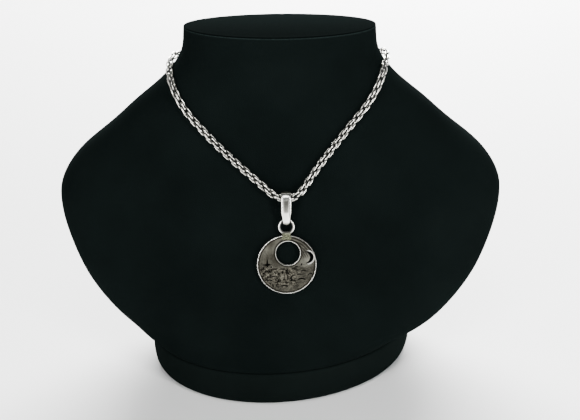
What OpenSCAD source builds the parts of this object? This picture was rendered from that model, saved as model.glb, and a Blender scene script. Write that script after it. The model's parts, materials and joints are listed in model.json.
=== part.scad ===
// Round silver pendant on a bail and a link chain, worn by a plain velvet neck bust.
// Millimetres. Origin at the centre of the foot's underside, +Z up, the chest faces -Y.

/* [Bust] */
// Height of the whole bust
bust_h = 162; // [130:1:240]
// Width across the shoulders
shoulder_w = 207; // [160:1:300]
// Width of the neck at its top
neck_w = 85; // [60:1:120]
// Depth of the neck, front to back
neck_d = 41; // [30:1:70]
// How far the neck centre stands behind the foot centre
neck_back = 5.5; // [0:0.5:20]
// How far the back swells out behind the neck
back_swell = 22; // [5:1:40]
// Width of the body where it stands on the foot
base_w = 129; // [100:1:160]
// Width of the foot
foot_w = 128; // [100:0.5:160]
// Depth of the foot
foot_d = 102; // [60:1:120]
// Height of the foot
foot_h = 17.5; // [12:0.5:30]
// Turn of the foot and the body's lower edge about the upright axis, in degrees
foot_turn = 14; // [0:1:20]
// How far the foot's side draws in at its underside
foot_round = 3.2; // [2:0.1:6]

/* [Chain] */
// Width of a link over its wire
link_w = 3.2; // [2:0.1:5]
// Wire of the links
link_wire = 0.6; // [0.4:0.02:1]
// Distance from one link to the next
link_step = 1.7; // [1.5:0.05:2.6]
// Length of the clasp that joins the two ends of the chain
clasp_l = 12; // [9:0.5:20]

/* [Bail] */
// Width of the bail's band at the top
bail_w = 4.3; // [3.6:0.1:6]
// Width of the bail's band at the bottom
bail_foot_w = 2.6; // [1.5:0.1:3.4]
// Thickness of the bail's band
bail_wall = 0.8; // [0.5:0.1:1.5]
// Length of the bail from the chain to its underside
bail_drop = 11.7; // [8:0.1:20]

/* [Pendant] */
// Diameter of the disc
disc_d = 26; // [18:0.2:40]
// Thickness of the disc's plate
disc_t = 1.2; // [0.8:0.1:2.5]
// Width of the raised rim round the disc
rim_w = 0.6; // [0.3:0.1:1.5]
// Height of the rims and of the relief over the plate
relief_h = 0.3; // [0.15:0.05:0.6]
// Bore of the round window
window_d = 10.8; // [6:0.2:14]
// Width of the raised rim round the window
window_rim = 0.7; // [0.3:0.1:1.5]
// Outside diameter of the loop
loop_d = 7.3; // [6.4:0.1:10]
// Wire of the loop
loop_wire = 1.1; // [0.8:0.05:1.6]

/* [Hidden] */
$fn = 48;

gap = 0.15;          // play between two pieces that rest on each other
rest = 0.35;         // metal above the velvet
ROUND = 64;          // points round the bust
LEVELS = 40;         // sections up the bust
lip = 0.5;           // rounding of the neck's top edge

// Sections of the body: height share above the foot, share of the base width,
// share of the shoulder width (the rest is neck), front, back and side shares.
BODY = [
  [0, 1, 0, 1, 1.09, 0.5],
  [0.074, 0.63, 0.37, 0.878, 0.92, 0.47],
  [0.186, 0.3, 0.7, 0.75, 0.91, 0.46],
  [0.308, 0.1, 0.9, 0.603, 0.96, 0.46],
  [0.42, 0, 1, 0.448, 1, 0.46],
  [0.502, 0, 0.985, 0.319, 1, 0.46],
  [0.598, 0, 0.835, 0.172, 0.91, 0.44],
  [0.695, 0, 0.56, 0.069, 0.68, 0.44],
  [0.766, 0, 0.375, 0.026, 0.45, 0.46],
  [0.812, 0, 0.24, 0.009, 0.27, 0.49],
  [0.863, 0, 0.115, 0, 0.14, 0.52],
  [0.919, 0, 0.025, 0, 0.05, 0.55],
  [1, 0, 0, 0, 0, 0.56]];

// Way of the chain round the bust: height share, angle round the section
// (-90 is the front, 90 the back) and how much of the bail's lift it has.
ROUTE = [
  [0.297, 90, 0], [0.3, 93.6, 0], [0.327, 96.8, 0], [0.395, 99.2, 0], [0.491, 101.6, 0],
  [0.593, 106.2, 0], [0.705, 115, 0], [0.802, 130, 0], [0.87, 149, 0.05], [0.891, 168, 0.15],
  [0.87, 190, 0.05], [0.823, 213.5, 0], [0.768, 230.8, 0], [0.713, 242.8, 0], [0.662, 251.4, 0],
  [0.603, 259.6, 0.1], [0.558, 264.8, 0.5], [0.528, 268, 0.9], [0.519, 271.1, 1],
  [0.53, 273.9, 0.9], [0.561, 276.3, 0.5], [0.603, 279.4, 0.1], [0.662, 285.5, 0],
  [0.719, 293.4, 0], [0.777, 305, 0], [0.827, 319.5, 0], [0.874, 337.5, 0.15], [0.893, 366, 0.3],
  [0.873, 391, 0.1], [0.802, 410, 0], [0.705, 425, 0], [0.593, 433.8, 0], [0.491, 438.4, 0],
  [0.395, 440.8, 0], [0.327, 443.2, 0], [0.3, 446.4, 0]];

// Smooth curve through values V at keys K
function seg(K, t, i = 0) = i >= len(K) - 2 || t < K[i + 1] ? i : seg(K, t, i + 1);
function lean_at(K, V, i) =
  let (a = max(0, i - 1), b = min(len(K) - 1, i + 1)) (V[b] - V[a]) / (K[b] - K[a]);
function curve(K, V, t) =
  let (i = seg(K, t), h = K[i + 1] - K[i], s = min(1, max(0, (t - K[i]) / h)))
  (2 * pow(s, 3) - 3 * s * s + 1) * V[i] + (pow(s, 3) - 2 * s * s + s) * h * lean_at(K, V, i)
  + (3 * s * s - 2 * pow(s, 3)) * V[i + 1] + (pow(s, 3) - s * s) * h * lean_at(K, V, i + 1);
function column(T, j) = [for (r = T) r[j]];
KEYS = column(BODY, 0);

// Sizes of the body's section at height share u
neck_front = neck_back - neck_d / 2;
neck_rear = neck_back + neck_d / 2;
function half_w(u) =
  let (a = curve(KEYS, column(BODY, 1), u), s = curve(KEYS, column(BODY, 2), u))
  (a * base_w + s * shoulder_w + (1 - a - s) * neck_w) / 2;
function front_y(u) =
  neck_front - curve(KEYS, column(BODY, 3), u) * (foot_d / 2 + neck_front);
function rear_y(u) = neck_rear + curve(KEYS, column(BODY, 4), u) * back_swell;
function side_y(u) =
  front_y(u) + curve(KEYS, column(BODY, 5), u) * (rear_y(u) - front_y(u));
function level(u) = foot_h + gap + u * (bust_h - foot_h - gap);
function share(z) = (z - foot_h - gap) / (bust_h - foot_h - gap);

// The foot's turn dies out over the lowest part of the body
turn_end = 0.05;
function turn(u) = let (t = max(0, 1 - u / turn_end)) foot_turn * t * t * (3 - 2 * t);
function turned(p, t) = [p[0] * cos(t) - p[1] * sin(t), p[0] * sin(t) + p[1] * cos(t), p[2]];

// Point of the skin at height share u and angle a, pulled in or out by d
function skin(u, a, d = 0) =
  let (m = side_y(u), k = sin(a) < 0 ? m - front_y(u) : rear_y(u) - m)
  turned([(half_w(u) + d) * cos(a), m + (k + d) * sin(a), level(u)], turn(u));
function unit(v) = v / norm(v);
function normal(u, a) =
  unit(cross(skin(u, a + 0.5) - skin(u, a - 0.5),
             skin(min(1, u + 0.004), a) - skin(max(0, u - 0.004), a)));
function off_skin(u, a, d) = skin(u, a) + d * normal(u, a);

// The chain's centre line, closed, and its lengths
chain_off = link_w / 2 + gap;
bail_bore = link_w / 2 + 0.75;
bail_r = bail_bore + bail_wall;
bail_lift = bail_r + rest - chain_off;
stops = [for (r = ROUTE) off_skin(r[0], r[1], chain_off + r[2] * bail_lift)];
function at(i) = stops[(i + len(stops)) % len(stops)];
function knot(i, t) =
  let (a = at(i - 1), b = at(i), c = at(i + 1), d = at(i + 2))
  0.5 * (2 * b + (c - a) * t + (2 * a - 5 * b + 4 * c - d) * t * t
  + (3 * b - a - 3 * c + d) * pow(t, 3));
line = [for (i = [0:len(stops) - 1]) for (t = [0:0.1:0.95]) knot(i, t)];
bits = [for (i = [0:len(line) - 1]) norm(line[(i + 1) % len(line)] - line[i])];
run = [for (i = 0, s = 0; i <= len(bits); s = s + (i < len(bits) ? bits[i] : 0), i = i + 1) s];
chain_total = run[len(bits)];
tx = [for (i = [0:len(bits)]) [run[i], line[i % len(line)][0]]];
ty = [for (i = [0:len(bits)]) [run[i], line[i % len(line)][1]]];
tz = [for (i = [0:len(bits)]) [run[i], line[i % len(line)][2]]];
function wrap(s) = s < 0 ? s + chain_total : s > chain_total ? s - chain_total : s;
function way(s) = let (r = wrap(s)) [lookup(r, tx), lookup(r, ty), lookup(r, tz)];

// Links: each one is turned a sixth on from the last and holds the two before it
link_play = 0.17;
link_r = (link_w - link_wire) / 2;
clasp_reach = (clasp_l - link_wire) / 2;
first_s = clasp_reach + 1.26 * link_step - link_wire - link_play;
link_n = 3 * round((chain_total - 2 * first_s) / link_step / 3) + 1;
link_gap = (chain_total - 2 * first_s) / (link_n - 1);
link_reach = 1.26 * link_gap;
mid_link = floor(link_n / 2);

// Frame of a piece between two points of the line: x across, y out of the bust, z along
function out_of(p) = unit([p[0] * 0.35, p[1] - neck_back, 0]);
function frame(a, b, roll) =
  let (z = unit(b - a), x0 = unit(cross(out_of((a + b) / 2), z)), y0 = cross(z, x0),
       x = cos(roll) * x0 + sin(roll) * y0, y = cross(z, x), o = (a + b) / 2)
  [[x[0], y[0], z[0], o[0]], [x[1], y[1], z[1], o[1]], [x[2], y[2], z[2], o[2]], [0, 0, 0, 1]];

// The pendant hangs from the chain's lowest point in front
hang_s = [for (i = [0:len(line) - 1]) if (line[i][1] < 0 && line[i][2] ==
          min([for (p = line) if (p[1] < 0) p[2]])) run[i]][0];
hang = way(hang_s);
loop_r = (loop_d - loop_wire) / 2;
bail_taper = [0.5, 0.95];   // shares of the bail's length between which it narrows
function bail_half(v) = bail_w / 2
  - (bail_w - bail_foot_w) / 2 * min(1, max(0, (v - bail_taper[0]) / (bail_taper[1] - bail_taper[0])));
eye_half = bail_half(0.78);
eye_run = sqrt(pow(loop_r, 2) - pow(eye_half, 2));
eye_in = loop_r - eye_run + loop_wire / 2 * loop_r / eye_run + 0.1;
eye_wall = bail_wall + 0.1;
bail_end = 1.3;             // metal under the eye
eye_z = bail_drop - bail_end - eye_in;
loop_z = eye_z + loop_r;
disc_z = loop_z + loop_d / 2 + 0.3 + disc_d / 2;
back_of_disc = (disc_t + relief_h) / 2;
function chest(x, z) =
  let (u = share(z)) side_y(u) - (side_y(u) - front_y(u)) * sqrt(1 - pow(x / half_w(u), 2));
function clears(a) =
  min([for (v = [disc_z - disc_d / 2:disc_d / 12:disc_z + disc_d / 2])
    chest(hang[0], hang[2] - v * cos(a) - back_of_disc * sin(a))
    - (hang[1] - v * sin(a) + back_of_disc * cos(a))]) >= rest;
function find_lean(a) = a > 40 || clears(a) ? a : find_lean(a + 0.25);
lean = find_lean(5);

module as_hung() translate(hang) rotate([-lean, 0, 0]) children();

// A stadium link along z in the x-z plane, its wire's middle reaching out to +-reach,
// in whole microns so that the ends of its four pieces meet
module ring_link(reach, r, wire) {
  h = round(1000 * (reach - r)) / 1000;
  translate([0, 0, h]) rotate([90, 0, 0]) half_ring(r, wire);
  translate([0, 0, -h]) rotate([-90, 0, 0]) half_ring(r, wire);
  translate([r, 0, -h]) cylinder(h = 2 * h, d = wire);
  translate([-r, 0, -h]) cylinder(h = 2 * h, d = wire);
}
module half_ring(r, wire) rotate_extrude(angle = 180) translate([r, 0]) circle(d = wire);

// Two round ends joined by their common tangents, along x, d apart going down
module drop(r1, r2, d, w) {
  s = -(r1 - r2) / d;
  c = sqrt(1 - s * s);
  rotate([90, 0, 90]) {
    cylinder(h = w, r = r1, center = true);
    translate([0, -d, 0]) cylinder(h = w, r = r2, center = true);
    linear_extrude(w, center = true)
      polygon([[r1 * c, r1 * s], [-r1 * c, r1 * s], [-r2 * c, r2 * s - d], [r2 * c, r2 * s - d]]);
  }
}

// Flat shape of the disc's plane, standing up and facing -Y, from depth a to b
module plate(a, b) translate([0, -a, -disc_z]) rotate([90, 0, 0]) linear_extrude(b - a) children();

// Oval ring of the foot, drawn in by d, at height z
function oval(d, z) = [for (j = [0:ROUND - 1]) let (a = 360 * j / ROUND)
  turned([(foot_w / 2 - d) * cos(a), (foot_d / 2 - d) * sin(a), z], foot_turn)];

module bust_foot() color("black") difference() {
  // the side draws in towards the floor, and the underside is cut flat
  rings = [[foot_round, -1], for (a = [0:22.5:90]) [foot_round * (1 - sin(a)),
    0.3 + 0.5 * foot_h * (1 - cos(a))], [0, foot_h]];
  n = ROUND;
  m = len(rings);
  polyhedron(points = [for (r = rings) each oval(r[0], r[1])],
    faces = concat([[for (j = [0:n - 1]) j]], sides(m, n), [[for (j = [n - 1:-1:0]) (m - 1) * n + j]]));
  translate([-foot_w, -foot_w, -2]) cube([2 * foot_w, 2 * foot_w, 2]);
}

// Triangles between m rings of n points
function sides(m, n) = [for (i = [0:m - 2]) for (j = [0:n - 1])
  let (a = i * n + j, b = i * n + (j + 1) % n) for (f = [[a, a + n, b + n], [a, b + n, b]]) f];

module neck_bust() color([0.1, 0.11, 0.11]) {
  lo = [for (i = [0:LEVELS]) i / LEVELS * share(bust_h - lip)];
  ring = [for (i = [0:LEVELS]) [lo[i], 0]];
  top = [for (a = [30:30:90]) [share(bust_h - lip + lip * sin(a)), -lip * (1 - cos(a))]];
  R = concat(ring, top);
  n = ROUND;
  m = len(R);
  pts = [for (r = R) for (j = [0:n - 1]) skin(r[0], 360 * j / n, r[1])];
  polyhedron(points = pts,
    faces = concat([[for (j = [0:n - 1]) j]], sides(m, n), [[for (j = [n - 1:-1:0]) (m - 1) * n + j]]));
}

module chain(first, last) color("silver")
  for (i = [first:last]) {
    s = first_s + i * link_gap;
    multmatrix(frame(way(s - link_gap), way(s + link_gap), 90 + 60 * i))
      ring_link(link_reach, link_r, link_wire);
  }
module chain_left() chain(0, mid_link - 1);
module chain_right() chain(mid_link, link_n - 1);

module clasp() color("silver")
  multmatrix(frame(way(-clasp_reach), way(clasp_reach), 0)) {
    ring_link(clasp_reach, link_r, link_wire);
    translate([0, 0, -clasp_l / 2 + link_w]) cylinder(h = clasp_l - 2 * link_w, r = link_r);
  }

module bail() color("gainsboro") as_hung() intersection() {
  difference() {
    drop(bail_r, eye_in + eye_wall, bail_drop - eye_in - eye_wall, bail_w);
    drop(bail_bore, eye_in, eye_z, bail_w + 1);
  }
  rotate([90, 0, 0]) linear_extrude(4 * bail_r, center = true)
    polygon([for (side = [-1, 1]) for (v = side < 0 ? [-1, each bail_taper, 2] : [2, each [bail_taper[1],
      bail_taper[0]], -1]) [side * bail_half(v), -v * bail_drop]]);
}

// Where things lie on the disc, as shares of its radius
rr = disc_d / 2;
window_at = [0.045 * rr, rr - rim_w - 1.2 - window_rim - window_d / 2];
star_at = [-0.66 * rr, 0];
star_arms = [0.8, 0.2, 1, 0.2, 0.8, 0.2, 0.45, 0.2];
moon_at = [0.70 * rr, 0.24 * rr];
slot_w = 0.5;
dot_d = 0.8;
solder_w = 3.6;             // width of the solder between the loop and the disc

module star(r) polygon([for (i = [0:7]) r * star_arms[i] * [cos(i * 45), sin(i * 45)]]);
module crescent(r) difference() {
  circle(r);
  translate([-0.5 * r, 0]) circle(0.92 * r);
}
// A strip along an arc about a point of the plate
module arc(p, r, a, b, w) translate(p) polygon(concat(
  [for (i = [0:8]) (r + w / 2) * [cos(a + (b - a) * i / 8), sin(a + (b - a) * i / 8)]],
  [for (i = [8:-1:0]) (r - w / 2) * [cos(a + (b - a) * i / 8), sin(a + (b - a) * i / 8)]]));

// Hills across the lower half: one outline each, highest first
hill_far = [[-0.90, -0.10], [-0.66, -0.12], [-0.40, -0.17], [-0.16, -0.15], [0.02, -0.27],
  [0.12, -0.36], [0.26, -0.20], [0.42, -0.06], [0.52, -0.12], [0.66, -0.22], [0.90, -0.26]];
hill_near = [[-0.86, -0.40], [-0.55, -0.46], [-0.30, -0.53], [-0.05, -0.50], [0.14, -0.55],
  [0.34, -0.50], [0.46, -0.46], [0.62, -0.50], [0.78, -0.54]];
module hill(line2) intersection() {
  difference() {
    circle(rr - rim_w / 2);
    translate(window_at) circle(d = window_d + window_rim);
  }
  polygon(concat([for (p = line2) rr * p], [[rr, line2[len(line2) - 1][1] * rr], [rr, -rr],
    [-rr, -rr], [-rr, line2[0][1] * rr]]));
}

// Slots cut through the plate along the hills: place, radius, from, to
SLOTS = [
  [[-0.165, -0.36], 0.21, 5, 110], [[-0.66, -0.34], 0.13, 40, 140], [[-0.42, -0.52], 0.13, 20, 125],
  [[-0.60, -0.64], 0.12, 40, 140], [[0.38, -0.22], 0.16, 90, 155], [[0.56, -0.34], 0.14, 45, 125],
  [[0.30, -0.56], 0.20, 100, 165], [[0.42, -0.46], 0.13, 55, 125], [[0.50, -0.66], 0.18, 45, 135],
  [[0.20, -0.74], 0.20, 60, 125], [[0.80, -0.42], 0.10, 50, 150], [[-0.08, -0.88], 0.16, 50, 130]];
// Small round holes among them
DOTS = [[-0.23, -0.56], [-0.36, -0.70], [-0.53, -0.08], [0.50, 0.0], [-0.80, -0.10], [0.02, -0.63]];

module disc_pendant() color("gainsboro") as_hung() {
  mid = back_of_disc;
  difference() {
    union() {
      plate(-mid, disc_t - mid) circle(rr);
      plate(disc_t - mid - 0.05, mid) difference() { circle(rr); circle(rr - rim_w); }
      plate(disc_t - mid - 0.05, mid) translate(window_at) circle(d = window_d + 2 * window_rim);
      plate(disc_t - mid - 0.05, mid - relief_h / 2) hill(hill_far);
      plate(disc_t - mid - 0.05, mid) hill(hill_near);
      translate([0, 0, -loop_z]) rotate([90, 0, 0])
        rotate_extrude() translate([loop_r, 0]) circle(d = loop_wire);
      translate([-solder_w / 2, -loop_wire / 2, -loop_z - loop_d / 2 - 0.9])
        cube([solder_w, loop_wire, loop_wire + 1.2]);
      plate(disc_t - mid - 0.05, mid) intersection() {
        circle(rr);
        translate([-solder_w / 2, window_at[1] + (window_d + window_rim) / 2]) square([solder_w, rr]);
      }
    }
    plate(-mid - 1, mid + 1) {
      translate(window_at) circle(d = window_d);
      translate(star_at) star(0.24 * rr);
      translate(moon_at) crescent(0.21 * rr);
    }
    plate(-mid - 1, mid + 1) for (s = SLOTS) arc(rr * s[0], rr * s[1], s[2], s[3], slot_w);
    plate(-mid - 1, mid + 1) for (p = DOTS) translate(rr * p) circle(d = dot_d);
  }
}

bust_foot();
neck_bust();
chain_left();
chain_right();
clasp();
bail();
disc_pendant();
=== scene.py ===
import json
import math
import random
import bmesh
import bpy
import numpy as np
from mathutils import Matrix, Quaternion, Vector, noise
from mathutils.bvhtree import BVHTree


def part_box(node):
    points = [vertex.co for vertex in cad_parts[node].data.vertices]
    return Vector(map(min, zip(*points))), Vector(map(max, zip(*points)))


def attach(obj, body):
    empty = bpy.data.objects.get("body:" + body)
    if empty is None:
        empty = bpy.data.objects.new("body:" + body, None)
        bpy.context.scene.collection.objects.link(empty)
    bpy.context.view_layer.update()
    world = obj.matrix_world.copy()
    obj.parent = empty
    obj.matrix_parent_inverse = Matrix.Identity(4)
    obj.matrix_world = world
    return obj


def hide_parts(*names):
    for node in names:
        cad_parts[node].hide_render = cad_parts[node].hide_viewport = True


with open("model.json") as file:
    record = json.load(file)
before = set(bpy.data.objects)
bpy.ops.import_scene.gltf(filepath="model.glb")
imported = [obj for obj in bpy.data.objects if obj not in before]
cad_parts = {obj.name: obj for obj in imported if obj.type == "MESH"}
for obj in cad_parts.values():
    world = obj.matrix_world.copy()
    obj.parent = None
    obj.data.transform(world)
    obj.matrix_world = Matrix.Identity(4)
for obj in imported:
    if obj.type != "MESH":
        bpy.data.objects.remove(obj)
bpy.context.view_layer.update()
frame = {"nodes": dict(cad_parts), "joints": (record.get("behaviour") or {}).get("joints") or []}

# Silver disc pendant on a bail and a link chain, worn by a black velvet neck bust.
# Metres. The sizes of the pieces come from the frame; MM turns a maker's sizes into metres.
MM = 0.001
SAME_SPOT = 2e-6
nodes = frame["nodes"]
joints = {j["name"]: j for j in frame["joints"]}

# Where the pendant hangs, and the plane that it hangs in
HANG = Vector(joints["bail_swing"]["pos_m"])
EYE = Vector(joints["pendant_swing"]["pos_m"])
DOWN = (EYE - HANG).normalized()
ACROSS = Vector((1, 0, 0))
OUTWARD = DOWN.cross(ACROSS)
LEAN = math.atan2(-DOWN.y, -DOWN.z)
# Turns (across, outward, up) from the point of hanging into the room
HUNG = Matrix((ACROSS, OUTWARD, -DOWN)).transposed().to_4x4()
HUNG.translation = HANG


def points_of(obj):
    """The vertices of a mesh object as an array."""
    flat = np.empty(len(obj.data.vertices) * 3)
    obj.data.vertices.foreach_get("co", flat)
    return flat.reshape(-1, 3)


def as_hung(points):
    """Points of the room as (across, outward, up) from the point of hanging."""
    return (points - np.array(HANG)) @ np.array([ACROSS, OUTWARD, -DOWN]).T


# Sizes of the disc; its outer ones are read off its solid
disc_points = as_hung(points_of(nodes["disc_pendant"]))
DISC_R = disc_points[:, 0].max()
DISC_UP = disc_points[:, 2].min() + DISC_R
DISC_FRONT = disc_points[:, 1].max()
RELIEF = 0.3 * MM
PLATE = DISC_FRONT - RELIEF
DISC_RIM = 0.6 * MM
WINDOW_R = 5.4 * MM
WINDOW_RIM = 0.7 * MM
WINDOW_DOWN = 1.2 * MM
WINDOW_X = 0.045 * DISC_R
WINDOW_UP = DISC_R - DISC_RIM - WINDOW_DOWN - WINDOW_RIM - WINDOW_R
MOON_X, MOON_UP, MOON_R = 0.70 * DISC_R, 0.24 * DISC_R, 0.21 * DISC_R
LOOP_UP = DISC_R + 3.95 * MM


# Patterns of the finishes: how fine, how many octaves and how rough
BRUSHED = (24.0, 4.0, 0.55)
FIBRES = (2600.0, 2.0, 0.6)
CLOUDS = (420.0, 3.0, 0.6)
SCRATCHES = (5200.0, 2.0, 0.7)
SCRATCH_STRETCH = (1, 1, 0.2)
STAINS = (180.0, 3.0, 0.55)
PITS = (1400.0, 3.0, 0.6)
PATCHES = (620.0, 2.0, 0.5)
PAPER_CLOUDS = (3.0, 2.0, 0.5)
# From where to where in a pattern a tone grows from none to full
PILE_LIGHTER = (0.25, 0.8)
LIP_FIBRES = (0.3, 0.6)
TARNISHED = (0.45, 0.75)
STREAKED = (-0.2, 0.6)
STAINED = (0.35, 0.7)
CLODDED = (0.40, 0.60)
FLOWED = (0.4, 0.65)
# Bumps: how high and how strong
PILE_BUMP = (0.35 * MM, 0.5)
SCRATCH_BUMP = (0.01 * MM, 0.35)
FACE_BUMP = (0.16 * MM, 0.8)


# Shader maths
class Value:
    """A socket of a finish; arithmetic on it adds Math nodes."""

    def __init__(self, finish, socket):
        self.finish = finish
        self.socket = socket

    def math(self, operation, *others, first=None):
        inputs = [self if first is None else first, *others]
        return self.finish.node("ShaderNodeMath", {"operation": operation}, dict(enumerate(inputs)))

    def __add__(self, other):
        return self.math("ADD", other)

    def __sub__(self, other):
        return self.math("SUBTRACT", other)

    def __rsub__(self, other):
        return self.math("SUBTRACT", self, first=other)

    def __mul__(self, other):
        return self.math("MULTIPLY", other)

    __radd__ = __add__
    __rmul__ = __mul__

    def either(self, other):
        """The greater of two values."""
        return self.math("MAXIMUM", other)

    def blend(self, other, share):
        """A share of this value and the rest of the other."""
        return self * share + other * (1.0 - share)

    def ramp(self, low, high, start, end):
        settings = {"interpolation_type": "SMOOTHSTEP"}
        return self.finish.node("ShaderNodeMapRange", settings,
                                {0: self, 1: low, 2: high, 3: start, 4: end})

    def rises(self, low, high):
        """0 below low, 1 above high, smooth between them."""
        return self.ramp(low, high, 0.0, 1.0)

    def falls(self, low, high):
        """1 below low, 0 above high, smooth between them."""
        return self.ramp(low, high, 1.0, 0.0)


class Finish:
    """A material with one Principled shader; constants go straight onto its sockets."""

    def __init__(self, name, **constants):
        self.material = bpy.data.materials.new(name)
        self.material.use_nodes = True
        self.tree = self.material.node_tree
        self.shader = self.tree.nodes["Principled BSDF"]
        self.vary(**constants)

    def node(self, kind, settings=None, inputs=None, out=0):
        made = self.tree.nodes.new(kind)
        for name, setting in (settings or {}).items():
            setattr(made, name, setting)
        for name, value in (inputs or {}).items():
            self.feed(made.inputs[name], value)
        return Value(self, made.outputs[out])

    def feed(self, socket, value):
        if isinstance(value, Value):
            self.tree.links.new(value.socket, socket)
        elif socket.type == "RGBA":
            socket.default_value = (*value, 1.0)
        else:
            socket.default_value = value

    def vary(self, **values):
        for name, value in values.items():
            self.feed(self.shader.inputs[name.replace("_", " ")], value)

    def place(self, scale=(1, 1, 1)):
        """Object coordinates, stretched by a scale."""
        at = self.node("ShaderNodeTexCoord", out="Object")
        return self.node("ShaderNodeMapping", {}, {0: at, 3: scale})

    def hung(self, centre):
        """Object coordinates from a centre, across, outward and up the hanging pendant's plane."""
        at = self.node("ShaderNodeTexCoord", out="Object")
        moved = self.node("ShaderNodeVectorMath", {"operation": "SUBTRACT"}, {0: at, 1: centre})
        return self.node("ShaderNodeMapping", {}, {0: moved, 2: (LEAN, 0, 0)})

    def noise(self, at, scale, detail, roughness):
        inputs = {"Vector": at, "Scale": scale, "Detail": detail, "Roughness": roughness}
        return self.node("ShaderNodeTexNoise", {}, inputs)

    def mix(self, share, first, second):
        settings = {"data_type": "RGBA"}
        return self.node("ShaderNodeMix", settings, {0: share, 6: first, 7: second}, out=2)

    def parts(self, vector):
        """The three coordinates of a place."""
        split = self.node("ShaderNodeSeparateXYZ", {}, {0: vector}).socket.node
        return [Value(self, socket) for socket in split.outputs]

    def bump(self, height, distance, strength):
        inputs = {"Height": height, "Distance": distance, "Strength": strength}
        self.vary(Normal=self.node("ShaderNodeBump", {}, inputs))

    def handled(self, at):
        """The clouds of tarnish and the fine scratches that handled silver has."""
        cloudy = self.noise(at, *CLOUDS)
        scratches = self.noise(self.place(scale=SCRATCH_STRETCH), *SCRATCHES)
        self.bump(scratches, *SCRATCH_BUMP)
        return cloudy, scratches


def distance(aside, above):
    """How far a place is from the middle that both are measured from."""
    return (aside * aside + above * above).math("SQRT")


def shade(colour, amount):
    """A colour made darker or lighter."""
    return [c * amount for c in colour]


# Velvet: the pile of the body and the foot, its sheen's tint, and how much its brushed patches
# and its fibres count in tone and in height
BODY_PILE = (0.0027, 0.0042, 0.0040)
FOOT_PILE = (0.0036, 0.0054, 0.0050)
SHEEN_TINT = (0.75, 0.95, 0.92)
BRUSHED_TONE = 0.7
BRUSHED_HEIGHT, FIBRES_HEIGHT = 0.4, 0.8
# How dark or light the pile lies all over, how dark the painted shade at the front of the neck's panel and
# how light the painted sheen at its back are, and how light the painted highlight on the panel's lip is
PILE_DARK, PILE_LIGHT = 0.75, 1.3
PANEL_PAINTED_SHADE, PANEL_PAINTED_SHEEN = 0.35, 0.95
LIP_PAINTED_HIGHLIGHT = 3.5
# How far below the neck's top the panel and the lip begin and are whole, and from where to where,
# front to back, the panel's painted light turns lighter
PANEL_DOWN = (0.6 * MM, 0.3 * MM)
LIP_DOWN = (1.1 * MM, 0.75 * MM)
PANEL_TURN = (-12 * MM, 30 * MM)


def velvet(name, pile, top=None):
    """Black velvet: a deep pile that drinks the light and brushes lighter in soft patches.
    A panel at height top is painted darker towards the front and lighter towards the back, as painted shade
    and painted sheen, and the lip round it has a painted highlight."""
    finish = Finish(name, Roughness=0.95, Sheen_Weight=0.006, Sheen_Roughness=0.42,
                    Sheen_Tint=SHEEN_TINT, Specular_IOR_Level=0.0)
    at = finish.place()
    brushed = finish.noise(at, *BRUSHED)
    fibres = finish.noise(at, *FIBRES)
    lighter = brushed.blend(fibres, BRUSHED_TONE).rises(*PILE_LIGHTER)
    colour = finish.mix(lighter, shade(pile, PILE_DARK), shade(pile, PILE_LIGHT))
    if top is not None:
        _, y, z = finish.parts(at)
        # painted light on the neck's panel: painted shade at its front, painted sheen at its back
        panel = z.rises(*(top - down for down in PANEL_DOWN))
        painted_panel_light = finish.mix(y.rises(*PANEL_TURN), shade(pile, PANEL_PAINTED_SHADE), shade(pile, PANEL_PAINTED_SHEEN))
        colour = finish.mix(panel, colour, painted_panel_light)
        # a painted highlight along the lip round the panel
        lip = z.rises(*(top - down for down in LIP_DOWN)) * (1.0 - panel) * fibres.rises(*LIP_FIBRES)
        colour = finish.mix(lip, colour, shade(pile, LIP_PAINTED_HIGHLIGHT))
    finish.vary(Base_Color=colour)
    finish.bump(fibres * FIBRES_HEIGHT + brushed * BRUSHED_HEIGHT, *PILE_BUMP)
    return finish.material


# Silver: what tarnish, scratches and painted shade add to its roughness, and how much of its metal
# shine a place painted dark loses, on the chain and on the other pieces. On the chain, the bail and the
# loop's inner side that dark is painted shade; on the loop's low part it is only darker
TARNISH_ROUGH, SCRATCH_ROUGH, PAINTED_SHADE_ROUGH = 0.25, 0.08, 0.4
CHAIN_SHADE_LOSS, DARK_LOSS = 0.85, 0.9
# Silver of the chain: its tones, the painted shade on the wires' inner sides among them, how tarnished it is
# and how rough
CHAIN_BRIGHT = (1.0, 0.985, 0.90)
CHAIN_TARNISH = (0.30, 0.27, 0.20)
CHAIN_PAINTED_SHADE = (0.007, 0.0065, 0.005)
CHAIN_TARNISHED = 0.35
CHAIN_ROUGH = 0.11


def silver(name):
    """Polished silver with fine scratches and a breath of tarnish, and painted shade where a piece marks it,
    as the chain's links do on their wires' inner sides.
    """
    finish = Finish(name)
    cloudy, scratches = finish.handled(finish.place())
    dull = cloudy.rises(*TARNISHED) * CHAIN_TARNISHED
    # painted shade, stored by the link tree on the inner sides of the links' wires
    deep = finish.node("ShaderNodeAttribute", {"attribute_name": "deep"}, out="Fac")
    bright = finish.mix(dull, CHAIN_BRIGHT, CHAIN_TARNISH)
    rough = CHAIN_ROUGH + dull * TARNISH_ROUGH + scratches * SCRATCH_ROUGH + deep * PAINTED_SHADE_ROUGH
    finish.vary(Base_Color=finish.mix(deep, bright, CHAIN_PAINTED_SHADE),
                Metallic=1.0 - deep * CHAIN_SHADE_LOSS, Roughness=rough)
    return finish.material


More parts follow.
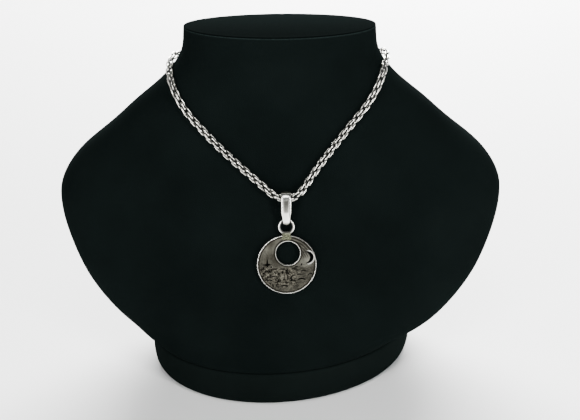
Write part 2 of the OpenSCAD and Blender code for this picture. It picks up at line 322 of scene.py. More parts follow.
# Silver of the bail: its tones, among them a painted dark reflection down its middle, painted shade in a
# line by its right edge and painted shade on its top, how tarnished it is and how rough, how strong the
# painted reflection in its middle is at least, and how much of the painted shade line shows
BAIL_BRIGHT = (0.97, 0.96, 0.89)
BAIL_TARNISH = (0.4, 0.38, 0.31)
BAIL_PAINTED_REFLECTION = (0.085, 0.082, 0.068)
BAIL_SHADE_LINE = (0.02, 0.02, 0.015)
BAIL_ARCH_SHADE = (0.02, 0.02, 0.013)
BAIL_TARNISHED = 0.25
BAIL_ROUGH = 0.18
REFLECTION_LEAST = 0.6
SHADE_LINE_SHARE = 0.85
# From where to where these tones grow, across and up from the middle of the chain
REFLECTION_SIDE = (0.7 * MM, 1.35 * MM)
REFLECTION_FROM, REFLECTION_TO = (-6.3 * MM, -5.3 * MM), (-0.9 * MM, 0.1 * MM)
ARCH_FROM = (2.35 * MM, 2.75 * MM)
SHADE_LINE_IN, SHADE_LINE_OUT = (1.25 * MM, 1.4 * MM), (1.6 * MM, 1.75 * MM)
SHADE_LINE_FROM, SHADE_LINE_TO = (-8.5 * MM, -7 * MM), (-0.8 * MM, 0.6 * MM)


def satin(name):
    """Satin silver of the bail: a painted dark reflection down its middle, painted shade in a thin strip by
    its right edge and painted shade on its top.
    """
    finish = Finish(name)
    at = finish.hung(tuple(HANG))
    x, _, up = finish.parts(at)
    cloudy, scratches = finish.handled(at)
    # painted light: a dark reflection down the band's middle, shade in a strip by its right edge and shade
    # on its top
    painted_reflection = x.math("ABSOLUTE").falls(*REFLECTION_SIDE) * up.rises(*REFLECTION_FROM) * up.falls(*REFLECTION_TO)
    shade_line = x.rises(*SHADE_LINE_IN) * x.falls(*SHADE_LINE_OUT) * up.rises(*SHADE_LINE_FROM) * up.falls(*SHADE_LINE_TO)
    painted_arch_shade = up.rises(*ARCH_FROM)
    colour = finish.mix(cloudy.rises(*TARNISHED) * BAIL_TARNISHED, BAIL_BRIGHT, BAIL_TARNISH)
    colour = finish.mix(painted_reflection * (REFLECTION_LEAST + cloudy * (1.0 - REFLECTION_LEAST)), colour, BAIL_PAINTED_REFLECTION)
    colour = finish.mix(shade_line * SHADE_LINE_SHARE, colour, BAIL_SHADE_LINE)
    colour = finish.mix(painted_arch_shade, colour, BAIL_ARCH_SHADE)
    finish.vary(Base_Color=colour, Metallic=1.0 - painted_arch_shade.either(shade_line) * DARK_LOSS,
                Roughness=BAIL_ROUGH + scratches * SCRATCH_ROUGH + painted_arch_shade * PAINTED_SHADE_ROUGH)
    return finish.material


# Oxidised silver of the disc: its tones, among them the painted shade on the loop's inner side
SKY_DARK, SKY_LIGHT, SKY_RIGHT = (0.031, 0.029, 0.022), (0.098, 0.095, 0.078), (0.22, 0.22, 0.19)
SKY_STREAK = (0.012, 0.011, 0.009)
CLOD_DARK, CLOD_LIGHT, CLOD_CALM = (0.003, 0.0027, 0.002), (0.115, 0.108, 0.085), (0.042, 0.04, 0.032)
GROOVE_DARK = (0.012, 0.011, 0.008)
SOLDER_DARK, SOLDER_LIGHT = (0.03, 0.031, 0.02), (0.22, 0.23, 0.15)
WORN_BRIGHT = (0.95, 0.94, 0.87)
LOOP_PAINTED_SHADE, LOOP_GREY = (0.008, 0.0075, 0.006), (0.03, 0.03, 0.024)
# How much of a tone shows where it is full
SKY_RIGHT_SHARE, STREAK_SHARE, CALM_SHARE, GROOVE_SHARE = 0.08, 0.75, 0.7, 0.9
LOOP_SHADE_SHARE, LOOP_GREY_SHARE = 0.95, 0.7
# How worn the window's ring and the moon's halo are, and how dark the loop's low part is
RING_WORN, HALO_WORN, LOOP_LOW_DARK = 0.75, 0.55, 0.6
# The face's roughness, how much of it wear takes off, and what the fine grain adds
FACE_ROUGH, WORN_SMOOTHER, FINE_ROUGHER = 0.42, 0.2, 0.1
# How high the clods and the fine grain stand, and how deep the streaks are
CLOD_HEIGHT, FINE_HEIGHT, STREAK_DEPTH = 1.6, 0.5, 0.5
# How much of the clods' pattern is pits, how far apart the streaks are and how stains bend them
PIT_SHARE = 0.55
STREAK_STEP, STREAK_BEND = 1.0 * MM, 3.0
# From where to where they grow, out from the disc's, the window's, the loop's or the moon's middle
RIM_FROM = (DISC_R - 0.22 * MM, DISC_R - 0.10 * MM)
GROOVE_FROM = (DISC_R - 1.10 * MM, DISC_R - 0.85 * MM)
RING_TO = (WINDOW_R + 0.10 * MM, WINDOW_R + 0.22 * MM)
RING_FOOT_TO = (WINDOW_R + 0.75 * MM, WINDOW_R + 1.1 * MM)
LOOP_INSIDE_TO = (2.95 * MM, 3.3 * MM)
HALO_FROM, HALO_TO = (MOON_R, MOON_R + 0.15 * MM), (MOON_R + 0.35 * MM, MOON_R + 0.6 * MM)
# From where to where they grow, up from the disc's or the loop's middle
LOOP_FROM = (DISC_R + 0.3 * MM, DISC_R + 0.9 * MM)
LOOP_LOW_TO = (-3.4 * MM, -1.2 * MM)
SOLDER_FROM = (DISC_R - 2.1 * MM, DISC_R - 1.5 * MM)
SOLDER_TO = (DISC_R + 1.0 * MM, DISC_R + 1.5 * MM)
HILLS_TO = (-2.2 * MM, -0.4 * MM)
STREAKS_UP = (2 * MM, 4 * MM)
CALM_LOW = (-11 * MM, -8.5 * MM)
# From where to where they grow, across from the disc's or the moon's middle
SOLDER_SIDE = (1.7 * MM, 2.3 * MM)
HALO_SIDE = (-0.5 * MM, 1 * MM)
STREAKS_SIDE = (0.5 * MM, 3 * MM)
SKY_SIDE = (0, 8 * MM)
CALM_SIDE = (1.5 * MM, 6.5 * MM)


def oxidised(name):
    """Silver darkened on the face, grained on the hills, worn bright on the rims and the loop, with painted
    shade on the loop's inner side.
    """
    finish = Finish(name)
    at = finish.hung(tuple(HANG - DOWN * DISC_UP))
    x, _, up = finish.parts(at)
    out = distance(x, up)
    from_window = distance(x - WINDOW_X, up - WINDOW_UP)
    over = up - LOOP_UP
    from_loop = distance(x, over)
    east = x - MOON_X
    from_moon = distance(east, up - MOON_UP)
    # where things lie
    rim = out.rises(*RIM_FROM)
    groove = out.rises(*GROOVE_FROM)
    ring = from_window.falls(*RING_TO)
    ring_foot = from_window.falls(*RING_FOOT_TO)
    loop = up.rises(*LOOP_FROM)
    # painted shade on the loop's inner side
    loop_inside = loop * from_loop.falls(*LOOP_INSIDE_TO)
    loop_low = loop * over.falls(*LOOP_LOW_TO)
    solder = x.math("ABSOLUTE").falls(*SOLDER_SIDE) * up.rises(*SOLDER_FROM) * up.falls(*SOLDER_TO)
    hills = up.falls(*HILLS_TO)
    calm = x.rises(*CALM_SIDE).either(up.falls(*CALM_LOW)) * CALM_SHARE
    halo = from_moon.rises(*HALO_FROM) * from_moon.falls(*HALO_TO) * east.rises(*HALO_SIDE)
    worn = rim.either(ring * RING_WORN).either(loop).either(halo * HALO_WORN) * (1.0 - solder)
    # what they look like
    stained = finish.noise(at, *STAINS)
    pitted = finish.noise(at, *PITS)
    patchy = finish.noise(at, *PATCHES)
    fine = finish.noise(at, *FIBRES)
    waves = (out * (2 * math.pi / STREAK_STEP) + stained * STREAK_BEND).math("SINE")
    streaks = waves.rises(*STREAKED) * x.rises(*STREAKS_SIDE) * up.rises(*STREAKS_UP)
    sky = finish.mix(stained.rises(*STAINED), SKY_DARK, SKY_LIGHT)
    sky = finish.mix(x.rises(*SKY_SIDE) * SKY_RIGHT_SHARE, sky, SKY_RIGHT)
    sky = finish.mix(streaks * STREAK_SHARE, sky, SKY_STREAK)
    clods = finish.mix(pitted.blend(patchy, PIT_SHARE).rises(*CLODDED), CLOD_DARK, CLOD_LIGHT)
    clods = finish.mix(calm, clods, CLOD_CALM)
    face = finish.mix(hills, sky, clods)
    face = finish.mix(groove.either(ring_foot) * GROOVE_SHARE, face, GROOVE_DARK)
    lump = finish.mix(fine.rises(*FLOWED), SOLDER_DARK, SOLDER_LIGHT)
    face = finish.mix(solder, face, lump)
    # painted shade darkens the loop's inner side
    shine = finish.mix(loop_inside * LOOP_SHADE_SHARE, WORN_BRIGHT, LOOP_PAINTED_SHADE)
    shine = finish.mix(loop_low * LOOP_GREY_SHARE, shine, LOOP_GREY)
    finish.vary(Base_Color=finish.mix(worn, face, shine),
                Metallic=1.0 - loop_inside.either(loop_low * LOOP_LOW_DARK) * DARK_LOSS,
                Roughness=FACE_ROUGH - worn * WORN_SMOOTHER + fine * FINE_ROUGHER)
    uneven = pitted * hills * (1.0 - calm) * CLOD_HEIGHT + fine * FINE_HEIGHT - streaks * STREAK_DEPTH
    finish.bump(uneven * (1.0 - worn), *FACE_BUMP)
    return finish.material


# The floor: its tone, how dark the painted shade makes its left, from where to where it turns lighter, and
# how much of that turn is even, not clouds
PAPER = (0.98, 0.986, 0.98)
PAPER_SHADED_LEFT = 0.70
PAPER_TURN = (-0.45, 0.30)
PAPER_EVEN = 0.88


def paper(name):
    """Matt pale paper for the floor, with painted shade that darkens it towards the left."""
    finish = Finish(name, Roughness=0.9, Specular_IOR_Level=0.1)
    at = finish.place()
    # painted shade: the floor turns darker towards its left
    across = finish.parts(at)[0].rises(*PAPER_TURN)
    lighter = across.blend(finish.noise(at, *PAPER_CLOUDS), PAPER_EVEN)
    finish.vary(Base_Color=finish.mix(lighter, shade(PAPER, PAPER_SHADED_LEFT), PAPER))
    return finish.material


# Node trees for the links and the grain
class Tree:
    """A geometry node tree with named inputs."""

    def __init__(self, name, sizes):
        self.group = bpy.data.node_groups.new(name, "GeometryNodeTree")
        face = self.group.interface
        face.new_socket("Geometry", in_out="INPUT", socket_type="NodeSocketGeometry")
        face.new_socket("Geometry", in_out="OUTPUT", socket_type="NodeSocketGeometry")
        self.sizes = {}
        for size, value in sizes.items():
            socket = face.new_socket(size, in_out="INPUT", socket_type="NodeSocketFloat")
            socket.default_value = value
            self.sizes[size] = socket.identifier
        self.start = self.group.nodes.new("NodeGroupInput")
        self.end = self.group.nodes.new("NodeGroupOutput")

    def node(self, kind, settings=None, inputs=None, out=0):
        made = self.group.nodes.new(kind)
        for name, setting in (settings or {}).items():
            setattr(made, name, setting)
        for name, value in (inputs or {}).items():
            if isinstance(value, bpy.types.NodeSocket):
                self.group.links.new(value, made.inputs[name])
            else:
                made.inputs[name].default_value = value
        return made.outputs[out]

    def math(self, operation, *values):
        return self.node("ShaderNodeMath", {"operation": operation}, dict(enumerate(values)))

    def size(self, name):
        return self.start.outputs[name]

    def attribute(self, name, kind):
        return self.node("GeometryNodeInputNamedAttribute", {"data_type": kind}, {"Name": name})

    def finish(self, geometry, material):
        whole = self.node("GeometryNodeRealizeInstances", {}, {0: geometry})
        shown = self.node("GeometryNodeSetMaterial", {}, {"Geometry": whole, "Material": material})
        self.group.links.new(shown, self.end.inputs[0])

    def grow(self, name, mesh, values):
        """Runs the tree on a mesh and returns the plain mesh that it makes."""
        seed = bpy.data.objects.new(name + "_seed", mesh)
        bpy.context.scene.collection.objects.link(seed)
        modifier = seed.modifiers.new("tree", "NODES")
        modifier.node_group = self.group
        for size, value in values.items():
            modifier[self.sizes[size]] = value
        view = bpy.context.evaluated_depsgraph_get()
        made = bpy.data.meshes.new_from_object(seed.evaluated_get(view), depsgraph=view)
        made.name = name
        bpy.data.objects.remove(seed)
        return made


# Meshes: how sharp an edge has to be to be rounded, and to how many digits of a metre the
# points of a level ring agree
SHARP = math.radians(32)
DIGITS = 6


def mesh_of(name, made):
    """The plain mesh of a bmesh, which is freed."""
    mesh = bpy.data.meshes.new(name)
    made.to_mesh(mesh)
    made.free()
    return mesh


def piece(name, mesh, material):
    """A new object at the origin that shows one material."""
    obj = bpy.data.objects.new(name, mesh)
    bpy.context.scene.collection.objects.link(obj)
    mesh.materials.clear()
    mesh.materials.append(material)
    mesh.polygons.foreach_set("use_smooth", [True] * len(mesh.polygons))
    return obj


def dress(name, material):
    """Gives a CAD node its material."""
    obj = nodes[name]
    obj.data.materials.clear()
    obj.data.materials.append(material)


def subdivide(obj):
    """Rounds a piece with one level of subdivision."""
    modifier = obj.modifiers.new("smooth", "SUBSURF")
    modifier.levels = modifier.render_levels = 1


def soften(obj, width):
    """Rounds those edges of a metal piece that are sharper than SHARP."""
    bevel = obj.modifiers.new("edges", "BEVEL")
    bevel.width = width
    bevel.segments = 2
    bevel.limit_method = "ANGLE"
    bevel.angle_limit = SHARP
    bevel.harden_normals = True
    bevel.use_clamp_overlap = True


def lathe_rings(name, rings):
    """A closed mesh through rings of points, each ring with as many points, both ends capped."""
    made = bmesh.new()
    rows = [[made.verts.new(p) for p in ring] for ring in rings]
    count = len(rows[0])
    for low, high in zip(rows, rows[1:]):
        for j in range(count):
            k = (j + 1) % count
            made.faces.new((low[j], low[k], high[k], high[j]))
    for row, turn in ((rows[0], -1), (rows[-1], 1)):
        middle = made.verts.new(sum((v.co for v in row), Vector()) / count)
        for j in range(count):
            pair = (row[j], row[(j + 1) % count])[::turn]
            made.faces.new((*pair, middle))
    bmesh.ops.recalc_face_normals(made, faces=made.faces)
    return mesh_of(name, made)


def ring_inset(ring, amount, height):
    """A ring drawn in towards its middle by amount and set at a height."""
    centre = ring.mean(axis=0)
    out = ring - centre
    out[:, 2] = 0
    far = np.linalg.norm(out, axis=1, keepdims=True)
    made = centre + out * (1 - amount / far)
    made[:, 2] = height
    return made


def sorted_ring(points):
    """The distinct points of a level ring in their order round its middle."""
    ring = np.unique(np.round(points, DIGITS), axis=0)
    middle = ring.mean(axis=0)
    angle = np.arctan2(ring[:, 1] - middle[1], ring[:, 0] - middle[0])
    return ring[np.argsort(angle)]


# The velvet body and foot, rebuilt from the rings of their solids, in millimetres:
# the body's hem as (inset, up), the neck's panel and the foot's upper edge as (inset, down)
HEM = ((1.2, 0), (0.35, 0.35), (0, 1.2))
PANEL = ((0.4, 0), (1.2, 0.1), (2.4, 0.05), (9, 0), (16, 0.1))
FOOT_EDGE = ((0, 4), (0, 1.4), (0.25, 0.6), (0.9, 0.12), (2.2, 0), (14, 0))
# The foot's underside: how far its flat middle, its edge and its rolled side lie in and up
SOLE_IN, SOLE_EDGE, SOLE_UP = 12 * MM, 0.4 * MM, 0.3 * MM
ROLL_ANGLES = range(0, 91, 15)
# How near the foot's top or bottom a point of it counts as on it
LEVEL = 0.01 * MM


def body_rings():
    """The whole rings of the body's solid, from the lowest up."""
    points = points_of(nodes["neck_bust"])
    heights = np.round(points[:, 2], DIGITS)
    rings = [sorted_ring(points[heights == height]) for height in np.unique(heights)]
    most = max(len(r) for r in rings)
    return [r for r in rings if len(r) == most]


def make_body(material):
    rings = body_rings()
    edge, top = rings[0], rings[-1]
    low, high = edge[0][2], top[0][2]
    hem = [ring_inset(edge, inset * MM, low + up * MM) for inset, up in HEM]
    panel = [ring_inset(top, inset * MM, high - down * MM) for inset, down in PANEL]
    obj = piece("velvet_body", lathe_rings("velvet_body", hem + rings[1:] + panel), material)
    subdivide(obj)
    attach(obj, "bust")
    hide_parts("neck_bust")


def make_foot(material):
    points = points_of(nodes["bust_foot"])
    high, low = points[:, 2].max(), points[:, 2].min()
    edge = sorted_ring(points[points[:, 2] > high - LEVEL])
    base = points[points[:, 2] < low + LEVEL]
    drawn_in = edge[:, 0].max() - base[:, 0].max()
    rings = [ring_inset(edge, drawn_in + inset, low) for inset in (SOLE_IN, SOLE_EDGE)]
    for angle in map(math.radians, ROLL_ANGLES):
        up = SOLE_UP + high / 2 * (1 - math.cos(angle))
        rings.append(ring_inset(edge, drawn_in * (1 - math.sin(angle)), low + up))
    rings += [ring_inset(edge, inset * MM, high - down * MM) for inset, down in FOOT_EDGE]
    obj = piece("velvet_foot", lathe_rings("velvet_foot", rings), material)
    subdivide(obj)
    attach(obj, "bust")
    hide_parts("bust_foot")


# The bail: a crowned band bent round the chain and the loop. Its wall, its thicker low end, the
# loop's play in it, and how far its face is crowned, its edges rounded and its sides bowed
BAIL_WALL = 0.8 * MM
BAIL_END = 1.3 * MM
BAIL_PLAY = 0.1 * MM
BAIL_CROWN = 0.3 * MM
BAIL_EDGE = 0.14 * MM
BAIL_BOW = 0.16 * MM
# Points round the arch, round the low end and down each side
ARCH_STEPS, END_STEPS, SIDE_STEPS = 26, 16, 7
# Places across the band's outer and inner face, as shares of its half width
BAND_OUTSIDE = (-1.0, -0.96, -0.75, -0.45, 0.0, 0.45, 0.75, 0.96, 1.0)
BAND_INSIDE = (0.97, 0.6, 0.0, -0.6, -0.97)
# Shares of the drop: where the taper starts, how long it is, and where the end is measured
TAPER_FROM, TAPER_LONG, LOW_END = 0.42, 0.55, 0.97


def drop_curve(top_r, low_r, apart):
    """Points and outward normals round two round ends and their tangents, as (outward, up)."""
    lean = math.asin((top_r - low_r) / apart)
    points, normals = [], []
    for radius, middle, first, last, steps in (
            (top_r, 0.0, -lean, math.pi + lean, ARCH_STEPS),
            (low_r, -apart, math.pi + lean, 2 * math.pi - lean, END_STEPS)):
        for i in range(steps + 1):
            angle = first + (last - first) * i / steps
            normals.append(Vector((math.cos(angle), math.sin(angle))))
            points.append(normals[-1] * radius + Vector((0, middle)))
        start = points[-1]
        end = points[0] if middle else Vector((math.cos(last), math.sin(last))) * low_r + Vector((0, -apart))
        for i in range(1, SIDE_STEPS):
            t = i / SIDE_STEPS
            normals.append(normals[-1])
            points.append(start.lerp(end, t) + normals[-1] * BAIL_BOW * 4 * t * (1 - t))
    return points, normals


def make_bail(material):
    corners = as_hung(points_of(nodes["bail"]))
    top_r, drop = corners[:, 2].max(), -corners[:, 2].min()
    half = corners[:, 0].max()
    narrow = np.abs(corners[corners[:, 2] < -LOW_END * drop][:, 0]).max()
    eye_down = (EYE - HANG).length
    eye_r = drop - eye_down - BAIL_END
    low_r = eye_r + BAIL_WALL + BAIL_PLAY
    outer, normals = drop_curve(top_r, low_r, drop - low_r)
    inner, _ = drop_curve(top_r - BAIL_WALL, eye_r, eye_down)
    made = bmesh.new()
    grid = []
    for out, inn, normal in zip(outer, inner, normals):
        share = min(1.0, max(0.0, (-out.y / drop - TAPER_FROM) / TAPER_LONG))
        wide = half + (narrow - half) * share * share * (3 - 2 * share)
        row = []
        for x in BAND_OUTSIDE:
            spot = out - normal * (BAIL_CROWN * x * x + (BAIL_EDGE if abs(x) == 1.0 else 0.0))
            row.append((wide * x, spot.x, spot.y))
        row += [(wide * x, inn.x, inn.y) for x in BAND_INSIDE]
        grid.append([made.verts.new(HUNG @ Vector(p)) for p in row])
    count = len(grid[0])
    for i, row in enumerate(grid):
        after = grid[(i + 1) % len(grid)]
        for j in range(count):
            k = (j + 1) % count
            made.faces.new((row[j], row[k], after[k], after[j]))
    bmesh.ops.recalc_face_normals(made, faces=made.faces)
    obj = piece("bail_band", mesh_of("bail_band", made), material)
    subdivide(obj)
    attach(obj, "bail")
    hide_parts("bail")


# The disc's cast grain: small domes and ridges over the hills, set by a node tree. How many, the
# seed of their draws, and from which to which size
GRAINS = 260
GRAIN_SEED = 7
GRAIN_SIZES = (0.16 * MM, 0.36 * MM)
# A grain's half length, height and half breadth as shares of its size, and how deep it sits
GRAIN_SHAPE = (1.5, 0.6, 1)
GRAIN_SUNK = 0.04 * MM
# How far out and up the grains lie, and above which height none lies on raised ground, as shares
# of the disc's radius
GRAIN_OUT, GRAIN_TOP, HILLTOP = 0.92, 0.02, -0.35
# Their bands, which wave across and up the disc: what is left between bands, how dense they are
# in the middle, and how much less dense towards the right
BAND_ACROSS, BAND_UP = 2.5, 9
BAND_LEAST, BAND_MIDDLE, BAND_FALL = 0.25, 0.62, 0.38
# How near two grains may come, in their sizes
GRAIN_APART = 0.8
# The ground round a grain is felt this many sizes off, in four directions, and may step so much
FEEL, FEEL_ANGLES, FEEL_STEP = 1.2, (0, 1.57, 3.14, 4.71), 0.05 * MM
# From how far in front the ground is felt, and how deep below the plate it counts as a hole
IN_FRONT, HOLE = 6 * MM, 0.1 * MM


def front_height(tree, x, up):
    """How far the disc's front stands out at a place of its plane, or None over a hole."""
    start = HUNG @ Vector((x, IN_FRONT, DISC_UP + up))
    hit = tree.ray_cast(start, -OUTWARD, 2 * IN_FRONT)[0]
    if hit is None:
        return None
    height = (hit - HANG).dot(OUTWARD)
    return height if height > PLATE - HOLE else None


def grain_points(mesh, count, seed):
    """Points on the hills, clear of holes and edges, denser towards the left."""
    tree = BVHTree.FromPolygons([v.co for v in mesh.vertices], [p.vertices for p in mesh.polygons])
    draw = random.Random(seed)
    spots, turns = [], []
    while len(spots) < count:
        x, up = draw.uniform(-1, 1), draw.uniform(-1, GRAIN_TOP)
        size = draw.uniform(*GRAIN_SIZES)
        band = 0.5 + 0.5 * math.sin(BAND_UP * up + BAND_ACROSS * x)
        dense = (BAND_LEAST + (1 - BAND_LEAST) * band) * (BAND_MIDDLE - BAND_FALL * x)
        if math.hypot(x, up) > GRAIN_OUT or draw.random() > dense:
            continue
        around = [front_height(tree, x * DISC_R + FEEL * size * math.cos(a),
                               up * DISC_R + FEEL * size * math.sin(a)) for a in FEEL_ANGLES]
        if None in around or max(around) - min(around) > FEEL_STEP:
            continue
        if any(math.hypot(x * DISC_R - p[0], up * DISC_R - p[1]) < GRAIN_APART * (size + p[2])
               for p in spots):
            continue
        if around[0] > DISC_FRONT - FEEL_STEP and up > HILLTOP:
            continue
        spots.append((x * DISC_R, up * DISC_R, size, around[0]))
        turns.append(draw.uniform(0, math.pi))
    points = bpy.data.meshes.new("grain_points")
    points.from_pydata([tuple(HUNG @ Vector((x, height - GRAIN_SUNK, DISC_UP + up)))
                        for x, up, _, height in spots], [], [])
    upright = HUNG.to_quaternion()
    turn = points.attributes.new("turn", "QUATERNION", "POINT")
    turn.data.foreach_set("value", [c for a in turns for c in upright @ Quaternion((0, 1, 0), a)])
    size = points.attributes.new("size", "FLOAT_VECTOR", "POINT")
    size.data.foreach_set("vector", [share * s for _, _, s, _ in spots for share in GRAIN_SHAPE])
    return points


def grain_tree(material):
    tree = Tree("grain", {"Growth": 1.0})
    dome = tree.node("GeometryNodeMeshIcoSphere", {}, {"Radius": 1.0, "Subdivisions": 2})
    grown = tree.node("ShaderNodeVectorMath", {"operation": "SCALE"},
                      {0: tree.attribute("size", "FLOAT_VECTOR"), "Scale": tree.size("Growth")})
    placed = tree.node("GeometryNodeInstanceOnPoints", {},
                       {"Points": tree.start.outputs[0], "Instance": dome,
                        "Rotation": tree.attribute("turn", "QUATERNION"), "Scale": grown})
    tree.finish(placed, material)
    return tree


# The disc itself: how far its edges are rounded, and how flat a face has to be to be made whole
DISC_SOFT = 0.09 * MM
FLAT = math.radians(0.4)
# Lumps of solder under the loop: middle across, outward and up from the disc's top, half sizes
# and seed
SOLDER_LUMPS = (((-0.2 * MM, 0.25 * MM, 0.1 * MM), (2.0 * MM, 0.75 * MM, 1.25 * MM), 3),
                ((-0.3 * MM, PLATE, -1.2 * MM), (1.9 * MM, 0.42 * MM, 1.0 * MM), 9))
# How deep and how fine the lumps' waves and dents are
WAVE_DEEP, WAVE_FINE = 0.16, 1.7
DENT_DEEP, DENT_FINE = 0.05, 5


def solid_copy(node, name):
    """A merged copy of a CAD node's mesh with its flat faces made whole."""
    made = bmesh.new()
    made.from_mesh(nodes[node].data)
    bmesh.ops.remove_doubles(made, verts=made.verts, dist=SAME_SPOT)
    bmesh.ops.dissolve_limit(made, angle_limit=FLAT, verts=made.verts, edges=made.edges)
    return mesh_of(name, made)


def solder_mesh():
    """The flowed lumps of solder as one mesh."""
    made = bmesh.new()
    for (across, outward, up), size, seed in SOLDER_LUMPS:
        middle = Vector((across, outward, DISC_UP + DISC_R + up))
        for v in bmesh.ops.create_icosphere(made, subdivisions=4, radius=1.0)["verts"]:
            waves = WAVE_DEEP * noise.noise(v.co * WAVE_FINE + Vector((seed, 0, 0)))
            dents = DENT_DEEP * noise.noise(v.co * DENT_FINE)
            v.co = HUNG @ (middle + Vector([c * s * (1 + waves + dents) for c, s in zip(v.co, size)]))
    return mesh_of("solder", made)


def make_disc(material):
    base = solid_copy("disc_pendant", "disc_relief")
    obj = piece("disc_relief", base, material)
    soften(obj, DISC_SOFT)
    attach(obj, "pendant")
    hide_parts("disc_pendant")
    points = grain_points(base, GRAINS, GRAIN_SEED)
    grain = piece("disc_grain", grain_tree(material).grow("disc_grain", points, {"Growth": 1.0}), material)
    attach(grain, "pendant")
    solder = piece("solder", solder_mesh(), material)
    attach(solder, "pendant")


# The chain: links set by a node tree on points that carry each link's turn. The steps of a link's
# corner, the sides of its wire, and how much of its bend a corner takes up
LINK_CORNER = 4
LINK_SIDES = 8
LINK_ROUND = 0.999
# From where to where the wire's inner side carries painted shade: wires in and out from the middle of its
# bend
SHADE_IN, SHADE_OUT = 0.5, 0.3


def islands(node):
    """The separate solids of a CAD node, each as an array of its points."""
    made = bmesh.new()
    made.from_mesh(nodes[node].data)
    bmesh.ops.remove_doubles(made, verts=made.verts, dist=SAME_SPOT)
    unseen = set(made.verts)
    found = []
    for first in made.verts:
        if first not in unseen:
            continue
        unseen.discard(first)
        group, edge = [first], [first]
        while edge:
            for link in edge.pop().link_edges:
                for v in link.verts:
                    if v in unseen:
                        unseen.discard(v)
                        group.append(v)
                        edge.append(v)
        found.append(np.array([v.co for v in group]))
    made.free()
    return found


def link_points(node):
    """A mesh with one point at each link, its turn kept as an attribute, and the links' half sizes."""
    places, turns, halves = [], [], []
    for solid in islands(node):
        middle = solid.mean(axis=0)
        along, across = np.linalg.svd(solid - middle, full_matrices=False)[2][:2]
        axes = np.array([across, along, np.cross(across, along)])
        local = (solid - middle) @ axes.T
        low, high = local.min(axis=0), local.max(axis=0)
        places.append(tuple(middle + (high + low) / 2 @ axes))
        turns.append(Matrix(axes).transposed().to_quaternion())
        halves.append((high - low) / 2)
    mesh = bpy.data.meshes.new(node + "_points")
    mesh.from_pydata(places, [], [])
    turn = mesh.attributes.new("turn", "QUATERNION", "POINT")
    turn.data.foreach_set("value", [x for q in turns for x in q])
    return mesh, np.mean(halves, axis=0)


def link_tree(material):
    tree = Tree("links", {"Half Width": 1.6 * MM, "Half Length": 2.4 * MM, "Wire": 0.3 * MM})
    wire = tree.size("Wire")
    bend = tree.math("SUBTRACT", tree.size("Half Width"), wire)
    reach = tree.math("SUBTRACT", tree.size("Half Length"), wire)
    box = tree.node("GeometryNodeCurvePrimitiveQuadrilateral", {"mode": "RECTANGLE"},
                    {"Width": tree.math("MULTIPLY", bend, 2.0), "Height": tree.math("MULTIPLY", reach, 2.0)})
    path = tree.node("GeometryNodeFilletCurve", {"mode": "POLY"},
                     {"Curve": box, "Count": LINK_CORNER, "Radius": tree.math("MULTIPLY", bend, LINK_ROUND)})
    ring = tree.node("GeometryNodeCurvePrimitiveCircle", {"mode": "RADIUS"},
                     {"Resolution": LINK_SIDES, "Radius": wire})
    link = tree.node("GeometryNodeCurveToMesh", {}, {"Curve": path, "Profile Curve": ring})
    # painted shade on the wire's inner side: 1 where it faces the chain's middle, 0 where it faces out
    off = tree.node("ShaderNodeVectorMath", {"operation": "MULTIPLY"},
                    {0: tree.node("GeometryNodeInputPosition"), 1: (1, 0, 1)})
    deep = tree.node("ShaderNodeMapRange", {"interpolation_type": "SMOOTHSTEP"},
                     {0: tree.node("ShaderNodeVectorMath", {"operation": "LENGTH"}, {0: off}, out=1),
                      1: tree.math("SUBTRACT", bend, tree.math("MULTIPLY", wire, SHADE_IN)),
                      2: tree.math("ADD", bend, tree.math("MULTIPLY", wire, SHADE_OUT)), 3: 1.0, 4: 0.0})
    link = tree.node("GeometryNodeStoreNamedAttribute", {"data_type": "FLOAT", "domain": "POINT"},
                     {"Geometry": link, "Name": "deep", "Value": deep})
    placed = tree.node("GeometryNodeInstanceOnPoints", {},
                       {"Points": tree.start.outputs[0], "Instance": link,
                        "Rotation": tree.attribute("turn", "QUATERNION")})
    tree.finish(placed, material)
    return tree


def make_chain(material):
    tree = link_tree(material)
    for node in ("chain_left", "chain_right"):
        mesh, half = link_points(node)
        name = node + "_links"
        values = {"Half Width": half[0], "Half Length": half[1], "Wire": half[2]}
        links = piece(name, tree.grow(name, mesh, values), material)
        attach(links, "bust")
        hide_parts(node)


# Camera, light and floor
CAMERA_AT = Vector((-0.0065, -0.425, 0.2775))
CAMERA_DOWN = math.radians(25.5)
CAMERA_TURN = math.radians(1.4)
CAMERA_ROLL = math.radians(-0.3)
LENS_MM = 62.07
FILM_MM = 36
CAMERA_NEAR = 0.01
STUDIO_TINT = (0.93, 0.97, 1.0, 1)
STUDIO_STRENGTH = 0.13
# Soft boxes: name, place, what it is aimed at, breadth and height, and watts
LAMPS = (("overhead", (0.08, 1.15, 0.95), (0, -0.05, 0), (1.5, 0.8), 172.0),
         ("front top", (0, -0.45, 0.95), (0, 0, 0.08), (0.5, 0.3), 5.0),
         ("left strip", (-0.55, -0.75, 0.34), (0, 0, 0.10), (0.14, 0.7), 8.2),
         ("right strip", (0.60, -0.70, 0.32), (0, 0, 0.08), (0.14, 0.7), 9.6))
FLOOR_REACH = 3.0


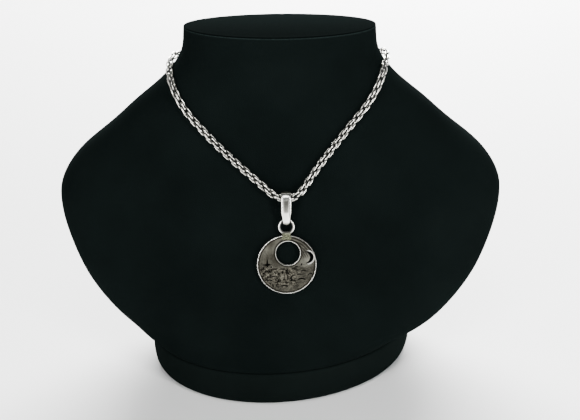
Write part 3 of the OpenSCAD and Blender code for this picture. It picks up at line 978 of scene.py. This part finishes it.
def place_camera():
    data = bpy.data.cameras.new("camera")
    data.lens = LENS_MM
    data.sensor_width = FILM_MM
    data.clip_start = CAMERA_NEAR
    camera = bpy.data.objects.new("camera", data)
    bpy.context.scene.collection.objects.link(camera)
    ahead = Vector((math.sin(CAMERA_TURN) * math.cos(CAMERA_DOWN),
                    math.cos(CAMERA_TURN) * math.cos(CAMERA_DOWN), -math.sin(CAMERA_DOWN)))
    level = Vector((math.cos(CAMERA_TURN), -math.sin(CAMERA_TURN), 0))
    above = level.cross(ahead)
    right = level * math.cos(CAMERA_ROLL) + above * math.sin(CAMERA_ROLL)
    up = above * math.cos(CAMERA_ROLL) - level * math.sin(CAMERA_ROLL)
    camera.matrix_world = Matrix((right, up, -ahead)).transposed().to_4x4()
    camera.location = CAMERA_AT
    bpy.context.scene.camera = camera


def softbox(name, at, aim, size, watts):
    data = bpy.data.lights.new(name, "AREA")
    data.shape = "RECTANGLE"
    data.size, data.size_y = size
    data.energy = watts
    lamp = bpy.data.objects.new(name, data)
    bpy.context.scene.collection.objects.link(lamp)
    lamp.location = at
    lamp.rotation_euler = (Vector(aim) - Vector(at)).to_track_quat("-Z", "Y").to_euler()


def make_studio():
    world = bpy.data.worlds.new("studio")
    bpy.context.scene.world = world
    world.use_nodes = True
    backdrop = world.node_tree.nodes["Background"]
    backdrop.inputs["Color"].default_value = STUDIO_TINT
    backdrop.inputs["Strength"].default_value = STUDIO_STRENGTH
    for lamp in LAMPS:
        softbox(*lamp)
    floor = bmesh.new()
    corners = ((-1, -1), (1, -1), (1, 1), (-1, 1))
    floor.faces.new([floor.verts.new((x * FLOOR_REACH, y * FLOOR_REACH, 0)) for x, y in corners])
    piece("floor", mesh_of("floor", floor), paper("floor"))


# Assembly
place_camera()
make_studio()
make_body(velvet("body_velvet", BODY_PILE, top=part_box("neck_bust")[1].z))
make_foot(velvet("foot_velvet", FOOT_PILE))
chain_silver = silver("chain_silver")
make_chain(chain_silver)
dress("clasp", chain_silver)
make_bail(satin("bail_silver"))
make_disc(oxidised("oxidised_silver"))
